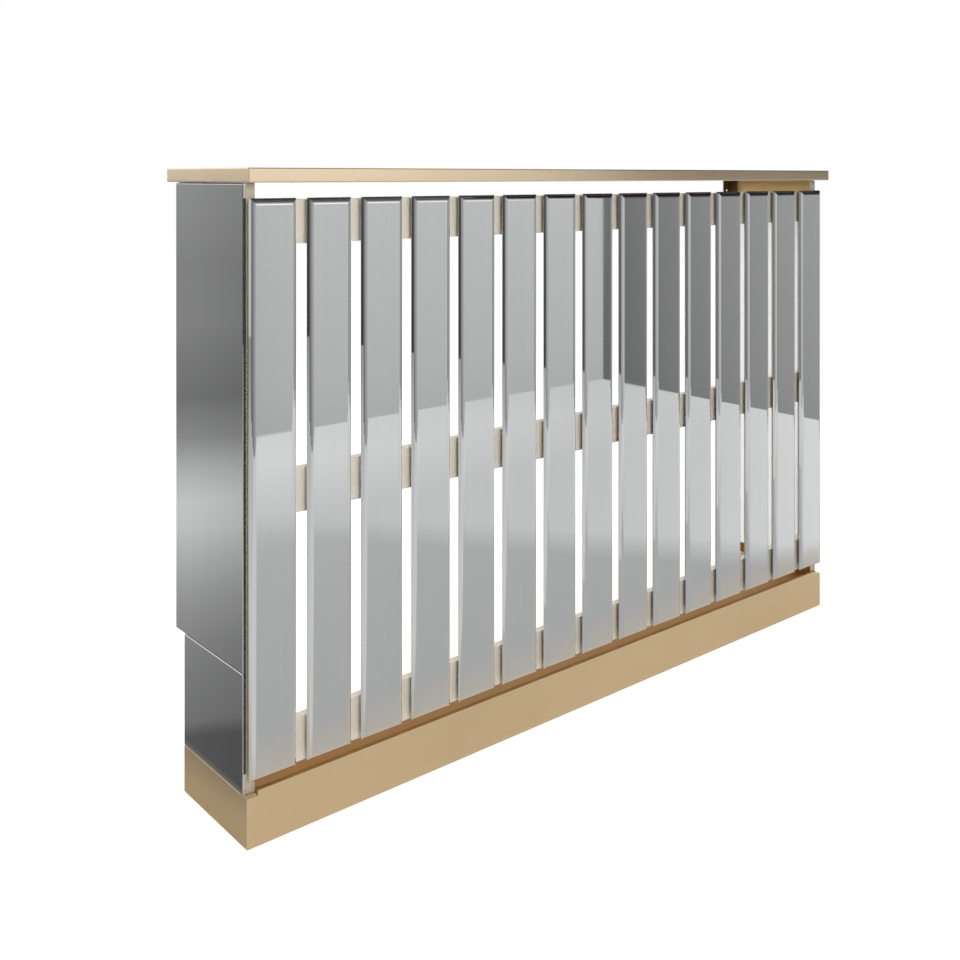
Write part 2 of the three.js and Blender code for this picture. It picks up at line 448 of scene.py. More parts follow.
@dataclass(frozen=True)
class MirrorBack:
    """The grey protective paint on the back of a mirror, with thin roller streaks."""

    base: Colour = (0.235, 0.245, 0.25)
    streaks_per_metre: Colour = (30.0, 30.0, 900.0)
    relief: float = 0.06 * MM

    def write(self, sketch: ShaderSketch, surface: bpy.types.Node) -> None:
        """Fills the paint's nodes.

        Args:
            sketch: The material's writer.
            surface: Its Principled BSDF.
        """
        streaks = sketch.noise(
            sketch.stretched(self.streaks_per_metre), 1.0, detail=4.0, roughness=0.6
        )
        inputs = {
            "Base Color": sketch.shade(streaks, self.base, 0.85, 1.12),
            "Roughness": sketch.spread(streaks, 0.42, 0.58),
            "Normal": sketch.bump(streaks, self.relief, 0.4),
        }
        sketch.feed(surface, inputs)


@dataclass(frozen=True)
class Primer:
    """Matt spray primer on board, with the board's fine fibre just showing."""

    base: Colour
    roughness: float = 0.6
    specular: float = 0.5
    fibres_per_metre: float = 700.0
    clouds_per_metre: float = 6.0
    relief: float = 0.08 * MM

    def write(self, sketch: ShaderSketch, surface: bpy.types.Node) -> None:
        """Fills the primer's nodes.

        Args:
            sketch: The material's writer.
            surface: Its Principled BSDF.
        """
        fibre = sketch.noise(sketch.stretched((1.0, 1.0, 0.45)), self.fibres_per_metre, detail=3.0)
        cloud = sketch.noise(sketch.place(), self.clouds_per_metre, detail=4.0)
        clouded = sketch.shade(cloud, self.base, 0.95, 1.02)
        specked = sketch.mix(sketch.spread(fibre, 0.0, 0.3, 0.62, 0.8), clouded, rgb(self.base, 0.8))
        inputs = {
            "Base Color": specked,
            "Roughness": sketch.spread(fibre, self.roughness - 0.06, self.roughness + 0.08),
            "Specular IOR Level": self.specular,
            "Normal": sketch.bump(fibre, self.relief, 0.4),
        }
        sketch.feed(surface, inputs)


@dataclass(frozen=True)
class PlatedSteel:
    """Bright zinc-plated steel with a drawn grain and dull patches."""

    base: Colour = (0.66, 0.67, 0.68)
    grain_per_metre: float = 1800.0
    patches_per_metre: float = 160.0
    relief: float = 0.02 * MM

    def write(self, sketch: ShaderSketch, surface: bpy.types.Node) -> None:
        """Fills the steel's nodes.

        Args:
            sketch: The material's writer.
            surface: Its Principled BSDF.
        """
        grain = sketch.noise(sketch.stretched((1.0, 0.05, 1.0)), self.grain_per_metre, detail=2.0)
        patch = sketch.noise(sketch.place(), self.patches_per_metre, detail=4.0)
        inputs = {
            "Base Color": sketch.shade(patch, self.base, 1.0, 0.82, start=0.35),
            "Metallic": 1.0,
            "Roughness": sketch.spread(patch, 0.2, 0.36, 0.3, 0.7),
            "Normal": sketch.bump(grain, self.relief, 0.3),
        }
        sketch.feed(surface, inputs)


@dataclass(frozen=True)
class BronzeCoat:
    """Dark bronze powder coat with a fine pebble, rubbed brighter in patches."""

    base: Colour = (0.17, 0.105, 0.038)
    rubbed: Colour = (0.30, 0.19, 0.075)
    pebbles_per_metre: float = 2200.0
    wear_per_metre: float = 90.0
    relief: float = 0.05 * MM

    def write(self, sketch: ShaderSketch, surface: bpy.types.Node) -> None:
        """Fills the coat's nodes.

        Args:
            sketch: The material's writer.
            surface: Its Principled BSDF.
        """
        pebble = sketch.noise(sketch.place(), self.pebbles_per_metre, detail=2.0)
        wear = sketch.noise(sketch.place(), self.wear_per_metre, detail=5.0, roughness=0.65)
        worn = sketch.spread(wear, 0.0, 0.8, 0.5, 0.75)
        inputs = {
            "Base Color": sketch.mix(worn, rgb(self.base), rgb(self.rubbed)),
            "Metallic": 0.6,
            "Roughness": sketch.spread(wear, 0.5, 0.36, 0.4, 0.8),
            "Normal": sketch.bump(pebble, self.relief, 0.5),
        }
        sketch.feed(surface, inputs)


@dataclass(frozen=True)
class MouldedPlastic:
    """Dark brown moulded plastic with a spark-eroded grain."""

    base: Colour = (0.03, 0.026, 0.022)
    grain_per_metre: float = 2500.0
    flow_per_metre: float = 60.0
    relief: float = 0.06 * MM

    def write(self, sketch: ShaderSketch, surface: bpy.types.Node) -> None:
        """Fills the plastic's nodes.

        Args:
            sketch: The material's writer.
            surface: Its Principled BSDF.
        """
        grain = sketch.noise(sketch.place(), self.grain_per_metre, detail=3.0)
        flow = sketch.noise(sketch.place(), self.flow_per_metre, detail=3.0)
        inputs = {
            "Base Color": sketch.shade(flow, self.base, 0.85, 1.25),
            "Roughness": sketch.spread(grain, 0.42, 0.6),
            "Normal": sketch.bump(grain, self.relief, 0.6),
        }
        sketch.feed(surface, inputs)


GOLD = Finish("gold_lacquer", GoldLacquer().write)
SHELF_GOLD = Finish("shelf_gold", GoldLacquer((0.93, 0.755, 0.525), 0.97, 0.27).write)
RAIL_GOLD = Finish("rail_gold", GoldLacquer((0.68, 0.62, 0.52), 0.15, 0.42, coat=0.1).write)
# Darker, duller gold: painted shade on the side boards' front edges under the shelf and behind the grille.
FRONT_EDGE_PAINTED_SHADE = Finish("front_edge_painted_shade", GoldLacquer((0.50, 0.435, 0.325), 0.3, 0.42, coat=0.1).write)
# Darker, more orange gold: the inside band's own gold, with painted shade and gold bounce in its colour.
BAND_GOLD_PAINTED_SHADE = Finish("band_gold_painted_shade", GoldLacquer((0.68, 0.45, 0.19), 0.3, 0.4, coat=0.1).write)
# Dark orange gold: painted shade and gold bounce, on the ledge and on the foot of each side board's inside.
DARK_GOLD_PAINTED_SHADE = Finish("dark_gold_painted_shade", GoldLacquer((0.36, 0.175, 0.04), 0.95, 0.45, coat=0.0).write)
MIRROR = Finish("mirror_glass", MirrorGlass().write)
MIRROR_BACK = Finish("mirror_back_paint", MirrorBack().write)
WHITE_PRIMER = Finish("white_primer", Primer((0.92, 0.915, 0.90)).write)
# Near-black shelf underside: painted shade under the overhang, which the mirrors' top bevels reflect.
UNDERSIDE_PAINTED_SHADE = Finish("underside_painted_shade", Primer((0.10, 0.078, 0.055)).write)
# Matt brown: painted shade for the recess behind the plinth's lip.
RECESS_PAINTED_SHADE = Finish("recess_painted_shade", Primer((0.30, 0.16, 0.055), specular=0.0).write)
SILVER_PRIMER = Finish("silver_backing", Primer((0.34, 0.34, 0.335), 0.5).write)
STEEL = Finish("bright_steel", PlatedSteel().write)
BRONZE = Finish("bronze_steel", BronzeCoat().write)
PLASTIC = Finish("catch_plastic", MouldedPlastic().write)


# ---- Pieces ----


@dataclass
class Box:
    """An axis-aligned box in the frame."""

    low: Vector
    high: Vector

    @classmethod
    def of(cls, node: str) -> "Box":
        """The box of a CAD node at rest."""
        low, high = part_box(node)
        return cls(Vector(low), Vector(high))

    @property
    def size(self) -> Vector:
        """Its three lengths."""
        return self.high - self.low

    @property
    def centre(self) -> Vector:
        """Its middle."""
        return (self.high + self.low) / 2

    def inner(self, side: Side) -> float:
        """Where its face towards the cabinet's middle lies on X."""
        return self.low.x if side is Side.RIGHT else self.high.x

    def outer(self, side: Side) -> float:
        """Where its face away from the cabinet's middle lies on X."""
        return self.high.x if side is Side.RIGHT else self.low.x

    def seats(self, x: float, y: float, reach: float) -> list[Vector]:
        """Two screw seats at x and y, as far below its middle as above it."""
        return [Vector((x, y, self.centre.z + offset)) for offset in (-reach, reach)]


def new_piece(name: str, mesh: bpy.types.Mesh) -> bpy.types.Object:
    """Links a mesh as an object at the origin.

    Args:
        name: The piece's name.
        mesh: Its mesh, already in place.

    Returns:
        The new object.
    """
    piece = bpy.data.objects.new(name, mesh)
    bpy.context.scene.collection.objects.link(piece)
    return piece


def settle(name: str, mesh: bpy.types.Mesh, body: Body, nodes: Sequence[str] = ()) -> None:
    """Makes a mesh a finished piece on its body and reports it.

    Args:
        name: The piece's name.
        mesh: Its mesh, already in place.
        body: What it rides on.
        nodes: The CAD nodes that it stands for.
    """
    piece = new_piece(name, mesh)
    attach(piece, body.value)
    if nodes:
        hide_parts(*nodes)
    LOG.info("%s on %s: %d faces", piece.name, body.value, len(piece.data.polygons))


def dress_node(node: str, finish: Finish) -> None:
    """Gives a carried-over CAD node its finish.

    Args:
        node: The node's name.
        finish: What it is finished in.
    """
    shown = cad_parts[node]
    if not shown.material_slots:
        shown.data.materials.append(None)
    for held in shown.material_slots:
        held.link = "OBJECT"
        held.material = finish.material
    LOG.info("%s keeps its solid", node)


def eased_mesh(
    name: str,
    form: bmesh.types.BMesh,
    ease: float,
    steps: int,
    finishes: Sequence[Finish],
    seams: Sequence[Plane] = (),
    cuts: Sequence[Plane] = (),
    paint: Callable[[bmesh.types.BMFace], Finish] | None = None,
) -> bpy.types.Mesh:
    """Rounds the edges of a form and makes it a mesh.

    Args:
        name: The mesh's name.
        form: The form, freed here.
        ease: The radius of its edges.
        steps: The segments of each rounding.
        finishes: The finishes on it.
        seams: Planes, as an axis and a place on it, whose edges meet another board and stay sharp.
        cuts: Planes, given the same way, where its faces are split as one finish ends and another begins.
        paint: Gives each face its finish; without it, all faces have the first.

    Returns:
        The mesh.
    """

    def on_seam(edge: bmesh.types.BMEdge) -> bool:
        """Whether an edge lies on a seam."""
        return any(
            all(abs(vert.co[axis] - place) < SEAM_TOLERANCE for vert in edge.verts)
            for axis, place in seams
        )

    if ease > 0:
        sharp = [
            edge for edge in form.edges if edge.calc_face_angle(0.0) > SHARP_ANGLE and not on_seam(edge)
        ]
        bmesh.ops.bevel(
            form,
            geom=sharp,
            offset=ease,
            segments=steps,
            profile=0.5,
            affect="EDGES",
            clamp_overlap=True,
        )
    for axis, place in cuts:
        across = Vector((0.0, 0.0, 0.0))
        across[axis] = 1.0
        geometry = [*form.verts, *form.edges, *form.faces]
        bmesh.ops.bisect_plane(form, geom=geometry, plane_co=across * place, plane_no=across)
    bmesh.ops.recalc_face_normals(form, faces=form.faces)
    if paint:
        for face in form.faces:
            face.material_index = finishes.index(paint(face))
    mesh = bpy.data.meshes.new(name)
    form.to_mesh(mesh)
    form.free()
    for finish in finishes:
        mesh.materials.append(finish.material)
    return mesh


def add_block(form: bmesh.types.BMesh, centre: Vector, size: Sequence[float]) -> None:
    """Adds a block to a form, by its middle and its three lengths."""
    matrix = Matrix.Translation(centre) @ Matrix.Diagonal((*size, 1.0))
    bmesh.ops.create_cube(form, size=1.0, matrix=matrix)


def board_form(box: Box) -> bmesh.types.BMesh:
    """A plain board as a form.

    Args:
        box: The board's box.

    Returns:
        The form.
    """
    form = bmesh.new()
    add_block(form, box.centre, box.size)
    return form


def outline_form(outline: Sequence[tuple[float, float]], x0: float, x1: float) -> bmesh.types.BMesh:
    """A form with a constant section, drawn in (y, z) and running along X.

    Args:
        outline: The section's corners.
        x0: Where it starts.
        x1: Where it ends.

    Returns:
        The form.
    """
    form = bmesh.new()
    face = form.faces.new([form.verts.new((x0, y, z)) for y, z in outline])
    pushed = bmesh.ops.extrude_face_region(form, geom=[face])
    moved = [item for item in pushed["geom"] if isinstance(item, bmesh.types.BMVert)]
    bmesh.ops.translate(form, vec=(x1 - x0, 0.0, 0.0), verts=moved)
    bmesh.ops.recalc_face_normals(form, faces=form.faces)
    return form


def turned_form(
    profile: Sequence[tuple[float, float]], centre: Vector, facing: Facing, steps: int
) -> bmesh.types.BMesh:
    """A turned form whose axis points the way it faces.

    Args:
        profile: Pairs of radius and height along the axis, the first and last on the axis.
        centre: Where height 0 lies.
        facing: The way its axis points.
        steps: Its sides.

    Returns:
        The form.
    """
    form = bmesh.new()
    points = [form.verts.new((radius, 0.0, height)) for radius, height in profile]
    edges = [form.edges.new(pair) for pair in zip(points, points[1:])]
    geometry = [*points, *edges]
    bmesh.ops.spin(form, geom=geometry, cent=(0, 0, 0), axis=(0, 0, 1), angle=math.tau, steps=steps)
    bmesh.ops.remove_doubles(form, verts=form.verts, dist=1e-6)
    bmesh.ops.recalc_face_normals(form, faces=form.faces)
    turn = Vector(facing.value).to_track_quat("Z", "Y").to_matrix().to_4x4()
    bmesh.ops.transform(form, matrix=Matrix.Translation(centre) @ turn, verts=form.verts)
    return form


# ---- Geometry Nodes ----


@dataclass
class Recipe:
    """A Geometry Nodes tree with named inputs, run once on an object and turned into a plain mesh."""

    name: str
    inputs: dict[str, tuple[str, Value]]
    tree: bpy.types.NodeTree = field(init=False)
    sockets: dict[str, str] = field(init=False, default_factory=dict)

    def __post_init__(self) -> None:
        """Makes the empty tree with its interface."""
        self.tree = bpy.data.node_groups.new(self.name, "GeometryNodeTree")
        interface = self.tree.interface
        for way in ("INPUT", "OUTPUT"):
            interface.new_socket("Geometry", in_out=way, socket_type="NodeSocketGeometry")
        for label, (kind, _) in self.inputs.items():
            socket = interface.new_socket(label, in_out="INPUT", socket_type=kind)
            self.sockets[label] = socket.identifier

    def run(self, name: str, start: bpy.types.Mesh, **changes: Value) -> bpy.types.Mesh:
        """Runs the tree on a mesh.

        Args:
            name: The new mesh's name.
            start: The mesh that the tree starts from.
            **changes: Inputs that differ from the defaults, with _ for a space.

        Returns:
            The evaluated mesh, with no modifier left.
        """
        carrier = new_piece(name + "_carrier", start)
        modifier = carrier.modifiers.new("recipe", "NODES")
        modifier.node_group = self.tree
        values = {label: value for label, (_, value) in self.inputs.items()}
        values.update({key.replace("_", " "): value for key, value in changes.items()})
        for label, value in values.items():
            modifier[self.sockets[label]] = value
        graph = bpy.context.evaluated_depsgraph_get()
        graph.update()
        made = carrier.evaluated_get(graph)
        mesh = bpy.data.meshes.new_from_object(made, preserve_all_data_layers=True, depsgraph=graph)
        mesh.name = name
        carrier.modifiers.remove(modifier)
        bpy.data.objects.remove(carrier)
        return mesh


def empty_mesh(points: Sequence[Vector] = ()) -> bpy.types.Mesh:
    """A mesh of loose points, or of none.

    Args:
        points: The points.

    Returns:
        The mesh.
    """
    mesh = bpy.data.meshes.new("start")
    mesh.from_pydata([tuple(point) for point in points], [], [])
    return mesh


class BevelledSheets(Recipe):
    """Sheets with a flat chamfer and a soft rounding all round their face, repeated at a pitch.

    Each sheet starts as a box whose front is a square grid. The grid's outer rings are pushed onto the
    bevel's profile, so that the bevels meet in mitres, and its middle cell becomes the flat face.
    """

    def __init__(self) -> None:
        """Writes the tree."""
        length = "NodeSocketFloat"
        super().__init__(
            "bevelled_sheets",
            {
                "Count": ("NodeSocketInt", 1),
                "Pitch": (length, 0.08),
                "Width": (length, 0.065),
                "Height": (length, 0.7),
                "Thickness": (length, 0.005),
                "Chamfer": (length, 0.0022),
                "Chamfer Depth": (length, 0.0024),
                "Rounding": (length, 0.006),
                "Rounding Angle": (length, math.radians(35.0)),
                "Steps": ("NodeSocketInt", 9),
                "Place": ("NodeSocketVector", (0.0, 0.0, 0.0)),
                "Turn": (length, 0.0),
                "Face": ("NodeSocketMaterial", None),
                "Back": ("NodeSocketMaterial", None),
            },
        )
        sketch = Sketch(self.tree)
        given = sketch.add("NodeGroupInput").outputs
        lines = sketch.calc("MULTIPLY_ADD", given["Steps"], 2.0, 2.0)
        grid = {"Size": (1.0, 1.0, 1.0), "Vertices X": lines, "Vertices Y": 2, "Vertices Z": lines}
        cube = sketch.add("GeometryNodeMeshCube", grid)
        at = sketch.split(sketch.result("GeometryNodeInputPosition"))
        last = sketch.calc("SUBTRACT", lines, 1.0)
        ring_x, sign_x = self._ring(sketch, at["X"], last)
        ring_z, sign_z = self._ring(sketch, at["Z"], last)
        x = self._across(sketch, given, ring_x, sign_x, given["Width"])
        z = self._across(sketch, given, ring_z, sign_z, given["Height"])
        depth = self._depth(sketch, given, sketch.calc("MINIMUM", ring_x, ring_z))
        y = sketch.choose(sketch.calc("LESS_THAN", at["Y"], 0.0), given["Thickness"], depth)
        shaped = {"Geometry": cube.outputs["Mesh"], "Position": sketch.join(X=x, Y=y, Z=z)}
        sheet = sketch.result("GeometryNodeSetPosition", shaped)
        faced = sketch.result("GeometryNodeSetMaterial", {"Geometry": sheet, "Material": given["Face"]})
        normal = sketch.split(sketch.result("GeometryNodeInputNormal"))
        behind = sketch.result(
            "FunctionNodeCompare",
            {0: normal["Y"], 1: SQUARE_ON},
            data_type="FLOAT",
            operation="GREATER_THAN",
        )
        painted = {"Geometry": faced, "Selection": behind, "Material": given["Back"]}
        backed = sketch.result("GeometryNodeSetMaterial", painted)
        spacing = {"Count": given["Count"], "Offset": sketch.join(X=given["Pitch"])}
        row = sketch.result("GeometryNodeMeshLine", spacing, mode="OFFSET")
        copies = sketch.result("GeometryNodeInstanceOnPoints", {"Points": row, "Instance": backed})
        moved = {"Geometry": copies, "Translation": given["Place"], "Rotation": sketch.join(Z=given["Turn"])}
        placed = sketch.result("GeometryNodeTransform", moved)
        real = sketch.result("GeometryNodeRealizeInstances", {"Geometry": placed})
        sketch.add("NodeGroupOutput", {0: real})

    def _ring(self, sketch: Sketch, along: Value, last: Value) -> tuple[Value, Value]:
        """Which ring of the grid a point is on, counted from the edge, and on which half it lies.

        Args:
            sketch: The tree's writer.
            along: The point's place on the unit box, from -0.5 to 0.5.
            last: The number of the last grid line.

        Returns:
            The ring and the sign.
        """
        index = sketch.calc("ROUND", sketch.calc("MULTIPLY", sketch.calc("ADD", along, 0.5), last))
        ring = sketch.calc("MINIMUM", index, sketch.calc("SUBTRACT", last, index))
        return ring, sketch.calc("SIGN", along)

    def _angle(self, sketch: Sketch, given: bpy.types.NodeOutputs, ring: Value) -> Value:
        """The slope of the rounding at a ring, from its full angle down to nothing.

        Args:
            sketch: The tree's writer.
            given: The tree's inputs.
            ring: The point's ring.

        Returns:
            The angle.
        """
        done = sketch.calc("SUBTRACT", ring, 1.0)
        share = sketch.calc("DIVIDE", done, sketch.calc("SUBTRACT", given["Steps"], 1.0))
        return sketch.calc("MULTIPLY", given["Rounding Angle"], sketch.calc("SUBTRACT", 1.0, share))

    def _radius(self, sketch: Sketch, given: bpy.types.NodeOutputs) -> Value:
        """The rounding's radius."""
        return sketch.calc("DIVIDE", given["Rounding"], sketch.calc("SINE", given["Rounding Angle"]))

    def _across(
        self, sketch: Sketch, given: bpy.types.NodeOutputs, ring: Value, sign: Value, span: Value
    ) -> Value:
        """A point's distance from the sheet's middle line.

        Args:
            sketch: The tree's writer.
            given: The tree's inputs.
            ring: The point's ring.
            sign: Its half.
            span: The sheet's width or height.

        Returns:
            The coordinate.
        """
        full = sketch.calc("SINE", given["Rounding Angle"])
        swept = sketch.calc("SUBTRACT", full, sketch.calc("SINE", self._angle(sketch, given, ring)))
        inset = sketch.calc("MULTIPLY_ADD", self._radius(sketch, given), swept, given["Chamfer"])
        inner = sketch.calc("MULTIPLY", inset, sketch.calc("GREATER_THAN", ring, 0.5))
        half = sketch.calc("MULTIPLY", span, 0.5)
        return sketch.calc("MULTIPLY", sign, sketch.calc("SUBTRACT", half, inner))

    def _depth(self, sketch: Sketch, given: bpy.types.NodeOutputs, ring: Value) -> Value:
        """How far a point of the front lies behind the flat face.

        Args:
            sketch: The tree's writer.
            given: The tree's inputs.
            ring: The point's ring.

        Returns:
            The depth.
        """

        def fall(angle: Value) -> Value:
            """How far the rounding has fallen where its slope is this angle."""
            missing = sketch.calc("SUBTRACT", 1.0, sketch.calc("COSINE", angle))
            return sketch.calc("MULTIPLY", self._radius(sketch, given), missing)

        edge = sketch.calc("ADD", fall(given["Rounding Angle"]), given["Chamfer Depth"])
        outermost = sketch.calc("LESS_THAN", ring, 0.5)
        return sketch.choose(outermost, fall(self._angle(sketch, given, ring)), edge)


class ScrewHeads(Recipe):
    """Pan heads with a cross recess, one on each point of the mesh that the tree is given.

    The crown is the head's flat top, the arm and blade the length and width of the cross's bars, all as
    shares of the head's radius.
    """

    CROWN = 0.72
    ARM = 1.1
    BLADE = 0.24

    def __init__(self) -> None:
        """Writes the tree."""
        length = "NodeSocketFloat"
        super().__init__(
            "screw_heads",
            {
                "Radius": (length, 0.0032),
                "Rise": (length, 0.0016),
                "Recess": (length, 0.0009),
                "Sides": ("NodeSocketInt", 28),
                "Tilt": ("NodeSocketVector", (0.0, 0.0, 0.0)),
                "Seed": ("NodeSocketInt", 3),
                "Metal": ("NodeSocketMaterial", None),
            },
        )
        sketch = Sketch(self.tree)
        given = sketch.add("NodeGroupInput").outputs
        pan = {
            "Vertices": given["Sides"],
            "Side Segments": 3,
            "Radius Top": sketch.calc("MULTIPLY", given["Radius"], self.CROWN),
            "Radius Bottom": given["Radius"],
            "Depth": given["Rise"],
        }
        head = sketch.add("GeometryNodeMeshCone", pan)
        cross = sketch.add("GeometryNodeJoinGeometry")
        for turned in (False, True):
            sketch.put(cross.inputs[0], self._bar(sketch, given, turned))
        both = {0: head.outputs["Mesh"], 1: cross.outputs[0]}
        cut = sketch.result("GeometryNodeMeshBoolean", both, operation="DIFFERENCE")
        angles = {2: 0.0, 3: math.pi, "Seed": given["Seed"]}
        spin = sketch.add("FunctionNodeRandomValue", angles, data_type="FLOAT").outputs[1]
        seated = {"Points": given["Geometry"], "Instance": cut, "Rotation": given["Tilt"]}
        heads = sketch.result("GeometryNodeInstanceOnPoints", seated)
        driven = {"Instances": heads, "Rotation": sketch.join(Z=spin), "Local Space": True}
        turned_in = sketch.result("GeometryNodeRotateInstances", driven)
        real = sketch.result("GeometryNodeRealizeInstances", {"Geometry": turned_in})
        plated = sketch.result("GeometryNodeSetMaterial", {"Geometry": real, "Material": given["Metal"]})
        sketch.add("NodeGroupOutput", {0: plated})

    def _bar(self, sketch: Sketch, given: bpy.types.NodeOutputs, turned: bool) -> Value:
        """One bar of the cross, sunk into the head's top.

        Args:
            sketch: The tree's writer.
            given: The tree's inputs.
            turned: Whether it runs along Y and not along X.

        Returns:
            The bar.
        """
        long = sketch.calc("MULTIPLY", given["Radius"], self.ARM)
        thin = sketch.calc("MULTIPLY", given["Radius"], self.BLADE)
        deep = sketch.calc("MULTIPLY", given["Recess"], 2.0)
        size = sketch.join(X=thin if turned else long, Y=long if turned else thin, Z=deep)
        bar = sketch.result("GeometryNodeMeshCube", {"Size": size})
        top = sketch.join(Z=given["Rise"])
        return sketch.result("GeometryNodeTransform", {"Geometry": bar, "Translation": top})


@dataclass(frozen=True)
class Bevel:
    """The edge of a sheet's face: a flat chamfer outside, then a rounding in steps up to the face."""

    chamfer: float
    depth: float
    rounding: float
    degrees: float
    steps: int


@dataclass
class Kit:
    """The recipes that the sub-assemblies share."""

    sheet_recipe: BevelledSheets = field(default_factory=BevelledSheets)
    head_recipe: ScrewHeads = field(default_factory=ScrewHeads)

    def sheets(
        self,
        name: str,
        size: Sequence[float],
        bevel: Bevel,
        place: Sequence[float],
        finishes: tuple[Finish, Finish],
        **row: Value,
    ) -> bpy.types.Mesh:
        """One or more bevelled sheets.

        Args:
            name: The mesh's name.
            size: A sheet's width, height and thickness.
            bevel: Its edge.
            place: The middle of the first sheet's face.
            finishes: Those of its face and of its back.
            **row: Count, Pitch and Turn, where it isn't one sheet that faces the front.

        Returns:
            The mesh.
        """
        return self.sheet_recipe.run(
            name,
            empty_mesh(),
            Width=size[0],
            Height=size[1],
            Thickness=size[2],
            Chamfer=bevel.chamfer,
            Chamfer_Depth=bevel.depth,
            Rounding=bevel.rounding,
            Rounding_Angle=math.radians(bevel.degrees),
            Steps=bevel.steps,
            Place=tuple(place),
            Face=finishes[0].material,
            Back=finishes[1].material,
            **row,
        )

    def screws(self, name: str, body: Body, facing: Facing, points: Sequence[Vector], radius: float) -> None:
        """Makes a set of screw heads that all face one way.

        Args:
            name: The piece's name.
            body: What it rides on.
            facing: The way that the heads face.
            points: Where their seats are.
            radius: The heads' radius.
        """
        mesh = self.head_recipe.run(
            name,
            empty_mesh(points),
            Radius=radius,
            Rise=radius * 0.5,
            Recess=radius * 0.28,
            Tilt=tuple(Vector(facing.value).to_track_quat("Z", "Y").to_euler()),
            Metal=STEEL.material,
        )
        settle(name, mesh, body)


# ---- Sub-assemblies ----


@dataclass
class Shelf:
    """The gold top shelf, with softly rounded edges and a dark underside that is painted shade."""

    ease: float = 1.5 * MM
    steps: int = 4

    def paint(self, face: bmesh.types.BMFace) -> Finish:
        """Dark underneath as painted shade, gold elsewhere."""
        return UNDERSIDE_PAINTED_SHADE if face.normal.z < -SQUARE_ON else SHELF_GOLD

    def build(self) -> None:
        """Makes the shelf."""
        form = board_form(Box.of("top_shelf"))
        finishes = [SHELF_GOLD, UNDERSIDE_PAINTED_SHADE]
        mesh = eased_mesh("shelf_board", form, self.ease, self.steps, finishes, paint=self.paint)
        settle("shelf_board", mesh, Body.CABINET, ["top_shelf"])


@dataclass
class Plinth:
    """The gold base: front board, end boards, the small lip on top of it and the ledge behind it.

    The boards meet without a visible joint, as lacquered boards do, so the edges at a joint stay sharp.
    """

    ease: float = 0.8 * MM
    lip_ease: float = 0.5 * MM
    steps: int = 3

    def board(
        self, node: str, box: Box, ease: float, finish: Finish, seams: Sequence[Plane] = ()
    ) -> None:
        """Makes one of its boards, lacquered all round.

        Args:
            node: The CAD node that it stands for.
            box: Its box.
            ease: The radius of its edges.
            finish: What it is lacquered in.
            seams: The planes where it meets another board.
        """
        name = node + "_board"
        mesh = eased_mesh(name, board_form(box), ease, self.steps, [finish], seams)
        settle(name, mesh, Body.CABINET, [node])

    def shaded_board(self, node: str, box: Box, ease: float, reach: float, seams: Sequence[Plane]) -> None:
        """Makes a gold board whose top and ends between the lip's ends are matt brown, as painted shade of
        the recess behind.

        Args:
            node: The CAD node that it stands for.
            box: Its box.
            ease: The radius of its edges.
            reach: Half of the lip's length.
            seams: The planes where it meets another board.
        """

        def paint(face: bmesh.types.BMFace) -> Finish:
            """Matt brown painted shade on the faces of the recess, gold elsewhere."""
            inside = abs(face.calc_center_median().x) < reach + 0.1 * MM
            return RECESS_PAINTED_SHADE if inside and max(abs(face.normal.x), face.normal.z) > 0.6 else GOLD

        name = node + "_board"
        cuts = [(0, -reach), (0, reach)]
        finishes = [GOLD, RECESS_PAINTED_SHADE]
        mesh = eased_mesh(name, board_form(box), ease, self.steps, finishes, seams, cuts, paint)
        settle(name, mesh, Body.CABINET, [node])

    def build(self) -> None:
        """Makes all of its boards."""
        front = Box.of("plinth_front")
        lip = Box.of("plinth_lip")
        lip.low.z = front.high.z
        reach = lip.high.x
        self.shaded_board("plinth_front", front, self.ease, reach, [(1, front.high.y), (2, front.high.z)])
        self.shaded_board("plinth_lip", lip, self.lip_ease, reach, [(2, lip.low.z)])
        # The ledge gets the dark gold of painted shade.
        self.board("plinth_ledge", Box.of("plinth_ledge"), self.ease, DARK_GOLD_PAINTED_SHADE)
        for side in Side:
            end = Box.of(f"plinth_end_{side.word}")
            end.low.y = front.high.y
            self.board(f"plinth_end_{side.word}", end, self.ease, GOLD, [(1, end.low.y)])


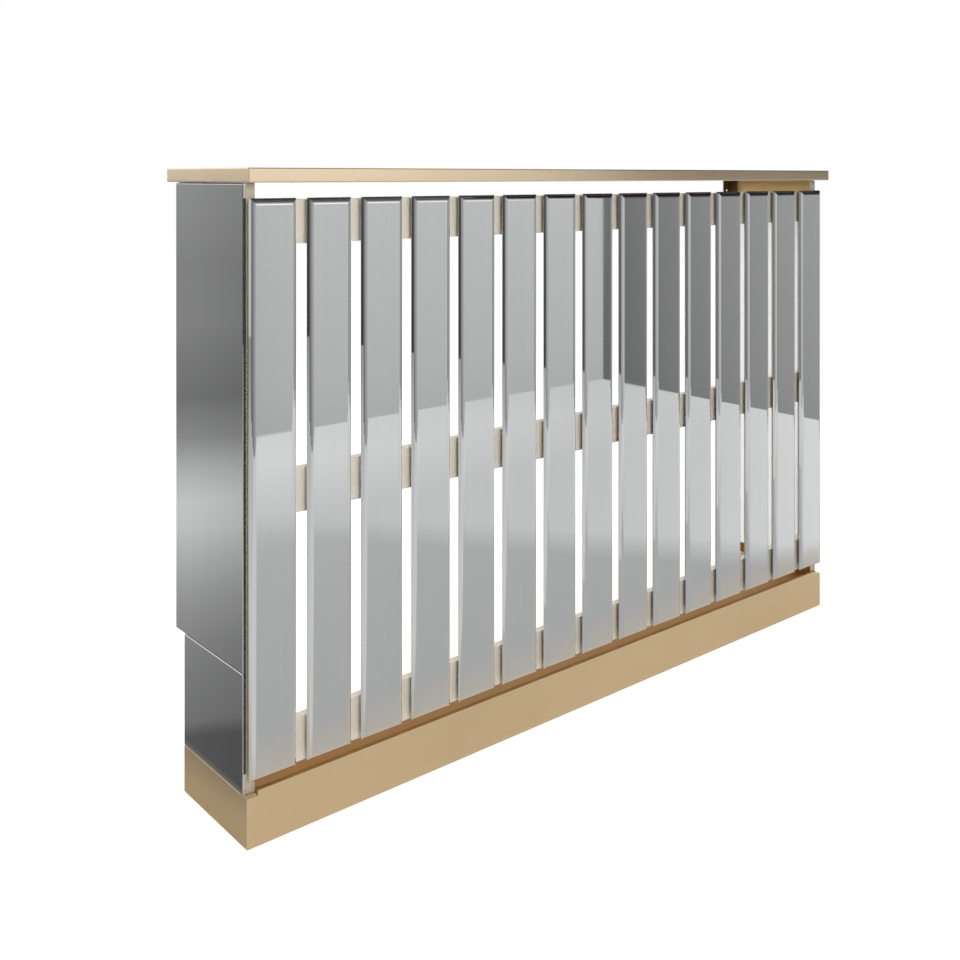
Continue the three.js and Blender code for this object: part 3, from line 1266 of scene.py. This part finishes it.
@dataclass
class SideWall:
    """One end of the cabinet: its board, and the two mirror panes bonded to the outside."""

    kit: Kit
    side: Side
    skirting_clearance: float = 207.0 * MM
    base_back: float = 72.5 * MM
    ease: float = 0.5 * MM
    steps: int = 2
    painted_top: float = 23.0 * MM
    shade_foot_height: float = 80.0 * MM
    pane_bevel: Bevel = Bevel(0.6 * MM, 0.6 * MM, 0.8 * MM, 20.0, 5)

    def board(self) -> None:
        """Makes the board: gold on its edges and in a band under the shelf, white primer inside; the front
        edge, the band and the inside foot are darker gold as painted shade.
        """
        node = f"side_board_{self.side.word}"
        box = Box.of(node)
        outline = [
            (box.low.y, box.low.z),
            (self.base_back, box.low.z),
            (self.base_back, self.skirting_clearance),
            (box.high.y, self.skirting_clearance),
            (box.high.y, box.high.z),
            (box.low.y, box.high.z),
        ]
        form = outline_form(outline, box.low.x, box.high.x)
        band = box.high.z - self.painted_top

        def paint(face: bmesh.types.BMFace) -> Finish:
            """The finish of one face.

            Args:
                face: The face.

            Returns:
                Darker edge gold as painted shade in front; inside, white between a foot of dark gold painted
                shade and a gold band darkened as painted shade; gold elsewhere.
            """
            # Front edges take the darker gold of painted shade.
            if face.normal.x * self.side.value > -SQUARE_ON:
                return FRONT_EDGE_PAINTED_SHADE if face.normal.y < -SQUARE_ON else GOLD
            height = face.calc_center_median().z
            # The inside foot takes the dark gold of painted shade.
            if height < self.shade_foot_height:
                return DARK_GOLD_PAINTED_SHADE
            # The band under the shelf is gold darkened as painted shade; below it, white primer.
            return WHITE_PRIMER if height < band else BAND_GOLD_PAINTED_SHADE

        name = node + "_panel"
        finishes = [GOLD, WHITE_PRIMER, BAND_GOLD_PAINTED_SHADE, DARK_GOLD_PAINTED_SHADE, FRONT_EDGE_PAINTED_SHADE]
        cuts = [(2, self.shade_foot_height), (2, band)]
        mesh = eased_mesh(name, form, self.ease, self.steps, finishes, cuts=cuts, paint=paint)
        settle(name, mesh, Body.CABINET, [node])

    def pane(self, level: str) -> None:
        """Makes one mirror pane.

        Args:
            level: "upper" or "lower".
        """
        node = f"side_mirror_{level}_{self.side.word}"
        box = Box.of(node)
        mesh = self.kit.sheets(
            node + "_glass",
            (box.size.y, box.size.z, box.size.x),
            self.pane_bevel,
            (box.outer(self.side), box.centre.y, box.centre.z),
            (MIRROR, MIRROR_BACK),
            Turn=self.side.value * math.pi / 2,
        )
        settle(node + "_glass", mesh, Body.CABINET, [node])

    def build(self) -> None:
        """Makes the board and its panes."""
        self.board()
        self.pane("upper")
        self.pane("lower")


@dataclass
class CornerBracket:
    """A bronze corner brace under the shelf, with the screws that hold it."""

    kit: Kit
    side: Side
    thickness: float = 2.0 * MM
    screw_radius: float = 2.8 * MM
    screw_heights: tuple[float, float] = (0.25, 0.7)
    shelf_screw_shift: float = 2.0 * MM

    def build(self) -> None:
        """Dresses the brace and adds its screws."""
        word = self.side.word
        node = f"corner_bracket_{word}"
        dress_node(node, BRONZE)
        box = Box.of(node)
        x = box.outer(self.side) - self.side.value * self.thickness
        y = box.low.y + (box.size.y - self.thickness) / 2
        into_board = [Vector((x, y, box.low.z + box.size.z * share)) for share in self.screw_heights]
        into_shelf = Vector(
            (box.centre.x - self.side.value * self.shelf_screw_shift, y, box.high.z - self.thickness)
        )
        for name, facing, points in (
            (f"bracket_screws_{word}", self.side.inward, into_board),
            (f"bracket_shelf_screw_{word}", Facing.DOWN, [into_shelf]),
        ):
            self.kit.screws(name, Body.CABINET, facing, points, self.screw_radius)


@dataclass
class GrilleHangers:
    """The cleats on one side board and the round-nosed pins that the grille hangs on."""

    kit: Kit
    side: Side
    nose: float = 1.6 * MM
    nose_steps: int = 6
    foot_chamfer: float = 0.3 * MM
    steps: int = 40
    screw_radius: float = 3.2 * MM
    screw_reach: float = 15.0 * MM

    def pin(self, level: str) -> None:
        """Makes one pin.

        Args:
            level: "top" or "bottom".
        """
        node = f"grille_pin_{level}_{self.side.word}"
        box = Box.of(node)
        radius = box.size.x / 2
        reach = box.size.y
        profile = [
            (0.0, 0.0),
            (radius - self.foot_chamfer, 0.0),
            (radius, self.foot_chamfer),
            (radius, reach - self.nose),
        ]
        for step in range(1, self.nose_steps):
            angle = step / self.nose_steps * math.pi / 2
            inset = self.nose * (1 - math.cos(angle))
            profile.append((radius - inset, reach - self.nose * (1 - math.sin(angle))))
        profile += [(radius - self.nose, reach), (0.0, reach)]
        foot = Vector((box.centre.x, box.high.y, box.centre.z))
        form = turned_form(profile, foot, Facing.FRONT, self.steps)
        name = node + "_turned"
        settle(name, eased_mesh(name, form, 0.0, 0, [STEEL]), Body.CABINET, [node])

    def build(self) -> None:
        """Dresses the cleats, makes their pins and screws the cleats to the board."""
        seats = []
        for level in ("top", "bottom"):
            node = f"grille_cleat_{level}_{self.side.word}"
            dress_node(node, RAIL_GOLD)
            box = Box.of(node)
            seats += box.seats(box.inner(self.side), box.centre.y, self.screw_reach)
            self.pin(level)
        name = f"cleat_screws_{self.side.word}"
        self.kit.screws(name, Body.CABINET, self.side.inward, seats, self.screw_radius)


@dataclass
class MagneticCatch:
    """A magnetic catch on one side board: a moulded case, two steel pole plates in it and two screws."""

    kit: Kit
    side: Side
    ease: float = 1.2 * MM
    plate_margin: float = 6.0 * MM
    plate_thickness: float = 1.2 * MM
    plate_proud: float = 0.2 * MM
    plate_sunk: float = 2.0 * MM
    plate_ease: float = 0.2 * MM
    plate_spread: float = 3.2 * MM
    screw_radius: float = 2.6 * MM
    screw_reach: float = 10.0 * MM

    def build(self) -> None:
        """Makes the case with rounded edges, its pole plates and its screws."""
        word = self.side.word
        node = f"magnetic_catch_{word}"
        box = Box.of(node)
        case = eased_mesh(node + "_case", board_form(box), self.ease, 3, [PLASTIC])
        settle(node + "_case", case, Body.CABINET, [node])
        form = bmesh.new()
        length = self.plate_proud + self.plate_sunk
        y = box.low.y + (self.plate_sunk - self.plate_proud) / 2
        for offset in (-self.plate_spread, self.plate_spread):
            middle = Vector((box.centre.x + offset, y, box.centre.z))
            size = (self.plate_thickness, length, box.size.z - 2 * self.plate_margin)
            add_block(form, middle, size)
        name = f"catch_plates_{word}"
        settle(name, eased_mesh(name, form, self.plate_ease, 2, [STEEL]), Body.CABINET)
        seats = box.seats(box.inner(self.side), box.centre.y, self.screw_reach)
        name = f"catch_screws_{word}"
        self.kit.screws(name, Body.CABINET, self.side.inward, seats, self.screw_radius)


@dataclass
class MirrorGrille:
    """The lift-off panel: bevelled mirror strips on backing boards, carried by three gold rails."""

    kit: Kit
    count: int = 15
    strip_bevel: Bevel = Bevel(2.2 * MM, 2.4 * MM, 6.0 * MM, 35.0, 9)
    backing_bevel: Bevel = Bevel(0.6 * MM, 0.6 * MM, 0.6 * MM, 20.0, 3)
    rail_screw_radius: float = 3.4 * MM
    strike_screw_radius: float = 1.8 * MM
    strike_screw_inset: float = 2.2 * MM
    strike_screw_reach: float = 14.0 * MM

    def names(self, stem: str) -> list[str]:
        """The numbered node names of one kind of piece."""
        return [f"{stem}_{number:02d}" for number in range(1, self.count + 1)]

    def uprights(
        self, name: str, stem: str, bevel: Bevel, finishes: tuple[Finish, Finish]
    ) -> None:
        """Makes one kind of upright board, the whole row of it.

        Args:
            name: The piece's name.
            stem: What its CAD nodes' names begin with.
            bevel: The edge of each.
            finishes: Those of the face and of the back.
        """
        nodes = self.names(stem)
        first, second = (Box.of(node) for node in nodes[:2])
        mesh = self.kit.sheets(
            name,
            (first.size.x, first.size.z, first.size.y),
            bevel,
            (first.centre.x, first.low.y, first.centre.z),
            finishes,
            Count=self.count,
            Pitch=second.centre.x - first.centre.x,
        )
        settle(name, mesh, Body.GRILLE, nodes)

    def rails(self) -> None:
        """Dresses the rails and screws them to the backing boards."""
        seats = []
        for name in ("rail_top", "rail_middle", "rail_bottom"):
            dress_node(name, RAIL_GOLD)
            rail = Box.of(name)
            for backing in self.names("strip_backing")[1:-1]:
                seats.append(Vector((Box.of(backing).centre.x, rail.high.y, rail.centre.z)))
        self.kit.screws("rail_screws", Body.GRILLE, Facing.BACK, seats, self.rail_screw_radius)

    def strike_plates(self) -> None:
        """Dresses the strike plates and adds their screws."""
        seats = []
        for side in Side:
            node = f"strike_plate_{side.word}"
            dress_node(node, STEEL)
            box = Box.of(node)
            x = box.inner(side) + side.value * self.strike_screw_inset
            seats += box.seats(x, box.high.y, self.strike_screw_reach)
        self.kit.screws("strike_screws", Body.GRILLE, Facing.BACK, seats, self.strike_screw_radius)

    def build(self) -> None:
        """Makes the whole panel."""
        glass = (MIRROR, MIRROR_BACK)
        board = (SILVER_PRIMER, SILVER_PRIMER)
        self.uprights("mirror_strips", "mirror_strip", self.strip_bevel, glass)
        self.uprights("strip_backings", "strip_backing", self.backing_bevel, board)
        self.rails()
        self.strike_plates()


# ---- Studio ----


@dataclass(frozen=True)
class Card:
    """A wall that only reflections see: two corners on the floor, and its tones along it, low and high."""

    name: str
    start: tuple[float, float]
    end: tuple[float, float]
    low_tones: Tones
    high_tones: Tones
    height: float = 3.0


@dataclass(frozen=True)
class Lamp:
    """A soft square lamp that neither the camera nor reflections see."""

    name: str
    place: tuple[float, float, float]
    aim: tuple[float, float, float]
    size: float
    watts: float

    def build(self) -> None:
        """Hangs the lamp."""
        data = bpy.data.lights.new(self.name, "AREA")
        data.size = self.size
        data.energy = self.watts
        lamp = bpy.data.objects.new(self.name, data)
        lamp.location = self.place
        way = Vector(self.aim) - Vector(self.place)
        lamp.rotation_euler = way.to_track_quat("-Z", "Y").to_euler()
        lamp.visible_glossy = False
        lamp.visible_camera = False
        bpy.context.scene.collection.objects.link(lamp)


def grey(level: float) -> tuple[float, float, float, float]:
    """A grey with alpha."""
    return (level, level, level, 1.0)


@dataclass
class Studio:
    """The pale floor, the walls that the mirrors show, the lamps, the background and the camera.

    The tones in reflections are painted light and shade, laid out for the photograph's view, and stay fixed
    in the room. Each list of tones pairs a position from 0 to 1 with a level.
    """

    eye: tuple[float, float, float] = (-1.2441, -1.3009, 0.8045)
    heading: float = -39.98
    lens: float = 42.08
    sensor: float = 36.0
    shift: float = -0.3164
    floor_reach: float = 9.0
    floor_drop: float = 0.6 * MM
    floor_right: Tones = ((0.0, 0.65), (0.55, 0.70), (0.75, 0.74), (1.0, 0.80))
    floor_middle: Tones = ((0.0, 0.45), (0.35, 0.49), (0.52, 0.52), (0.6, 0.6), (0.75, 0.65))
    floor_left: Tones = ((0.0, 0.68), (0.25, 0.6), (0.45, 0.49), (0.62, 0.38), (0.85, 0.31))
    # Painted pool of light, dark as painted shadow close to the cabinet's end.
    floor_pool: Tones = (
        (0.036, 0.11),
        (0.043, 0.2),
        (0.09, 0.265),
        (0.13, 0.37),
        (0.2, 0.63),
        (0.235, 0.665),
        (0.29, 0.5),
        (0.35, 0.3),
        (0.46, 0.2),
        (0.8, 0.27),
    )
    bevel_patch: float = 0.68
    # Painted warm bounce from the gold onto the floor's reflected tone, in front of and beside the plinth.
    gold_bounce_front: Colour = (0.58, 0.52, 0.43)
    gold_bounce_side: Colour = (0.38, 0.33, 0.25)
    mirrored_eye: tuple[float, float] = (0.044, -1.301)
    corner_bearings: tuple[float, float] = (0.4727, 0.53)
    corner_shade: float = 0.16
    sky_behind: Tones = (
        (0.0, 0.27),
        (0.109, 0.28),
        (0.135, 0.305),
        (0.168, 0.335),
        (0.2, 1.3),
        (0.38, 1.25),
        (0.6, 0.85),
    )
    sky_ahead: Tones = ((0.0, 0.3), (0.17, 0.33), (0.45, 0.8), (0.62, 0.5), (0.75, 0.15), (0.9, 0.06))
    wall_foot: Tones = ((0.0, 0.90), (0.15, 0.97), (0.3, 1.0), (0.7, 1.09))
    wall_fall: Tones = ((0.3, 1.0), (0.35, 0.74), (0.42, 0.5), (0.54, 0.26), (0.67, 0.13), (1.0, 0.05))
    cards: tuple[Card, ...] = (
        Card(
            "card_behind_camera",
            (-4.6, -2.0),
            (1.99, -2.0),
            ((0.0, 0.05), (0.3, 0.07), (0.45, 0.17), (0.62, 0.36), (0.8, 0.56), (1.0, 0.56)),
            ((0.0, 0.4), (0.6, 0.95), (0.78, 1.4), (0.9, 1.2), (1.0, 0.6)),
        ),
        Card(
            "card_right",
            (1.99, -2.0),
            (1.99, 0.6),
            ((0.0, 0.17), (0.4, 0.38), (1.0, 0.55)),
            ((0.0, 0.2), (0.3, 0.05), (1.0, 0.2)),
        ),
        Card("card_left", (-4.6, -2.0), (-4.6, 0.6), ((0.0, 0.62), (1.0, 0.5)), ((0.0, 0.9), (1.0, 0.8))),
    )
    lamps: tuple[Lamp, ...] = (
        Lamp("key_lamp", (-1.5, -3.1, 1.5), (0.0, 0.0, 0.4), 1.3, 83.0),
        Lamp("top_lamp", (0.3, -0.4, 3.2), (0.0, 0.0, 0.4), 1.6, 24.0),
        Lamp("back_lamp", (-0.7, 2.2, 1.5), (0.3, 0.0, 0.4), 1.4, 62.0),
    )

    def wall(self, card: Card) -> None:
        """Makes one reflection wall, whose tone follows its UV map along the floor and upwards.

        Args:
            card: Its corners and tones.
        """
        (x0, y0), (x1, y1) = card.start, card.end
        mesh = bpy.data.meshes.new(card.name)
        corners = [(x0, y0, 0.0), (x1, y1, 0.0), (x1, y1, card.height), (x0, y0, card.height)]
        mesh.from_pydata(corners, [], [(0, 1, 2, 3)])
        along = mesh.uv_layers.new(name="along")
        for loop, uv in zip(along.data, ((0, 0), (1, 0), (1, card.height), (0, card.height))):
            loop.uv = uv
        material, sketch = blank_material(card.name)
        place = sketch.split(sketch.result("ShaderNodeUVMap", uv_map="along"))
        upward = place["Y"]
        foot = sketch.ramp(upward, self.wall_foot)
        low = sketch.calc("MULTIPLY", sketch.ramp(place["X"], card.low_tones), foot)
        high = sketch.ramp(place["X"], card.high_tones)
        band = sketch.mix(sketch.share(upward, 0.77, 0.83), low, high)
        fall = sketch.ramp(sketch.calc("DIVIDE", upward, card.height), self.wall_fall)
        glow = sketch.result("ShaderNodeEmission", {"Color": sketch.calc("MULTIPLY", band, fall)})
        sketch.add("ShaderNodeOutputMaterial", {"Surface": glow})
        mesh.materials.append(material)
        wall = new_piece(card.name, mesh)
        for ray in ("camera", "diffuse", "transmission", "volume_scatter", "shadow"):
            setattr(wall, f"visible_{ray}", False)

    def floor(self) -> None:
        """Makes the floor: white to the camera but for a soft shadow, and grey with painted light and shadow
        in reflections.
        """
        reach = self.floor_reach
        mesh = bpy.data.meshes.new("floor")
        corners = ((-reach, -reach), (reach, -reach), (reach, reach), (-reach, reach))
        mesh.from_pydata([(x, y, -self.floor_drop) for x, y in corners], [], [(0, 1, 2, 3)])
        material, sketch = blank_material("floor")
        plain = sketch.result("ShaderNodeBsdfDiffuse", {"Color": grey(0.8)})
        shaded = sketch.result("ShaderNodeBsdfDiffuse", {"Color": grey(0.32)})
        lift = sketch.result("ShaderNodeEmission", {"Color": WHITE, "Strength": 0.87})
        seen = sketch.result("ShaderNodeAddShader", {0: shaded, 1: lift})
        mirrored = sketch.result("ShaderNodeEmission", {"Color": self._floor_tone(sketch)})
        surface = sketch.by_ray(plain, mirrored, seen)
        sketch.add("ShaderNodeOutputMaterial", {"Surface": surface})
        mesh.materials.append(material)
        new_piece("floor", mesh)

    def _floor_ahead(self, sketch: ShaderSketch, x: Value, y: Value) -> Value:
        """The floor's tone in front of the cabinet.

        It has a lighter half to the right, it gets lighter towards the wall behind the camera, and it is
        darker just in front of the cabinet, a painted shadow. To the left it gets darker with distance,
        around a painted light patch that only the strips' left bevels show.

        Args:
            sketch: The floor material's writer.
            x: The place from side to side.
            y: The place from front to back.

        Returns:
            The tone.
        """
        across = sketch.calc("SUBTRACT", x, sketch.calc("MULTIPLY", sketch.calc("ADD", y, 1.15), 0.8))
        gain = sketch.calc("ADD", sketch.calc("MULTIPLY", x, 0.6), sketch.calc("MULTIPLY", y, 0.8))
        right = sketch.ramp(sketch.share(gain, -0.3, 0.3), self.floor_right)
        # Darker close to the cabinet's front: painted shadow.
        middle = sketch.ramp(sketch.share(y, 0.0, -2.0), self.floor_middle)
        halves = sketch.mix(sketch.share(across, 0.0, 0.22), middle, right)
        near_wall = sketch.calc(
            "MULTIPLY", sketch.share(y, -1.2, -1.65), sketch.spread(x, 0.14, 0.03, 0.4, 1.7)
        )
        forward = sketch.mix(1.0, halves, near_wall, blend="ADD")
        corner = sketch.distance(sketch.place(), (-0.5, -0.1, 0.0))
        left = sketch.ramp(sketch.calc("DIVIDE", corner, 5.0), self.floor_left)
        tone = sketch.mix(sketch.share(x, -0.45, -0.75), forward, left)
        aside = sketch.calc("MULTIPLY_ADD", y, 0.5425, sketch.calc("ADD", x, 0.647))
        patch = sketch.calc("MULTIPLY", sketch.share(aside, -0.01, -0.06), sketch.share(x, -1.2, -0.9))
        return sketch.mix(patch, tone, grey(self.bevel_patch))

    def _past_corner(self, sketch: ShaderSketch, bearing: Value, tone: Value) -> Value:
        """A tone that is darker past the bearing of the room's corner, as the side panes show it.

        Args:
            sketch: The tree's writer.
            bearing: The way sideways per way backwards, as a side pane shows it.
            tone: The tone before the corner.

        Returns:
            The tone.
        """
        darker = sketch.mix(self.corner_shade, tone, BLACK)
        return sketch.mix(sketch.share(bearing, *self.corner_bearings), tone, darker)

    def _floor_tone(self, sketch: ShaderSketch) -> Value:
        """The floor's tone in reflections, by its place.

        Beside and behind the cabinet it has a painted pool of light about 1.4 m away, with painted shadow
        close to the cabinet, and at the plinth's foot a painted warm bounce from the gold.

        Args:
            sketch: The floor material's writer.

        Returns:
            The tone.
        """
        place = sketch.split(sketch.place())
        x, y = place["X"], place["Y"]
        aside = sketch.calc("ABSOLUTE", x)
        distance = sketch.distance(sketch.join(X=aside, Y=y), (0.6, 0.0, 0.0))
        pool = sketch.ramp(sketch.calc("DIVIDE", distance, 6.0), self.floor_pool)
        eye_x, eye_y = self.mirrored_eye
        bearing = sketch.calc("DIVIDE", sketch.calc("ADD", aside, eye_x), sketch.calc("ADD", y, -eye_y))
        around = self._past_corner(sketch, bearing, pool)
        tone = sketch.mix(sketch.share(y, -0.1, 0.02), self._floor_ahead(sketch, x, y), around)
        before_plinth = sketch.calc(
            "MULTIPLY", sketch.share(y, -0.34, -0.2), sketch.spread(y, 1.0, 0.0, -0.09, -0.08)
        )
        warmed = sketch.mix(before_plinth, tone, rgb(self.gold_bounce_front))
        beside_plinth = sketch.calc(
            "MULTIPLY", sketch.spread(aside, 1.0, 0.0, 0.635, 0.66), sketch.share(y, -0.095, -0.085)
        )
        return sketch.mix(beside_plinth, warmed, rgb(self.gold_bounce_side))

    def world(self) -> None:
        """Writes the background: white to the camera, even light on the object, soft grey in reflections."""
        world = bpy.data.worlds.new("studio")
        world.use_nodes = True
        bpy.context.scene.world = world
        sketch = ShaderSketch(world.node_tree)
        way = sketch.split(sketch.add("ShaderNodeTexCoord").outputs["Generated"])
        rise = sketch.share(way["Z"], -0.2, 1.0)
        behind = sketch.ramp(rise, self.sky_behind)
        ahead = sketch.ramp(rise, self.sky_ahead)
        tone = sketch.mix(sketch.share(way["Y"], 0.05, -0.05), behind, ahead)
        backwards = sketch.calc("MAXIMUM", way["Y"], 0.01)
        bearing = sketch.calc("DIVIDE", sketch.calc("ABSOLUTE", way["X"]), backwards)
        mirrored = {"Color": self._past_corner(sketch, bearing, tone)}
        surface = sketch.by_ray(
            sketch.result("ShaderNodeBackground", {"Color": WHITE, "Strength": 0.5}),
            sketch.result("ShaderNodeBackground", mirrored),
            sketch.result("ShaderNodeBackground", {"Color": WHITE}),
        )
        sketch.add("ShaderNodeOutputWorld", {"Surface": surface})

    def camera(self) -> None:
        """Puts the camera at the photograph's place: level, turned 40 degrees, and shifted down."""
        data = bpy.data.cameras.new("camera")
        data.sensor_width = self.sensor
        data.lens = self.lens
        data.shift_y = self.shift
        camera = bpy.data.objects.new("camera", data)
        camera.location = self.eye
        camera.rotation_euler = (math.pi / 2, 0.0, math.radians(self.heading))
        bpy.context.scene.collection.objects.link(camera)
        bpy.context.scene.camera = camera

    def build(self) -> None:
        """Sets the whole stage."""
        bpy.context.scene.view_settings.view_transform = "Standard"
        self.camera()
        self.world()
        self.floor()
        for card in self.cards:
            self.wall(card)
        for lamp in self.lamps:
            lamp.build()


# ---- The whole cabinet ----


def main() -> None:
    """Builds the studio and every sub-assembly, in order."""
    logging.basicConfig(level=logging.INFO, format="%(name)s: %(message)s")
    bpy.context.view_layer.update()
    Studio().build()
    kit = Kit()
    Shelf().build()
    Plinth().build()
    for side in Side:
        SideWall(kit, side).build()
        CornerBracket(kit, side).build()
        GrilleHangers(kit, side).build()
        MagneticCatch(kit, side).build()
    MirrorGrille(kit).build()


if __name__ == "__main__":
    main()
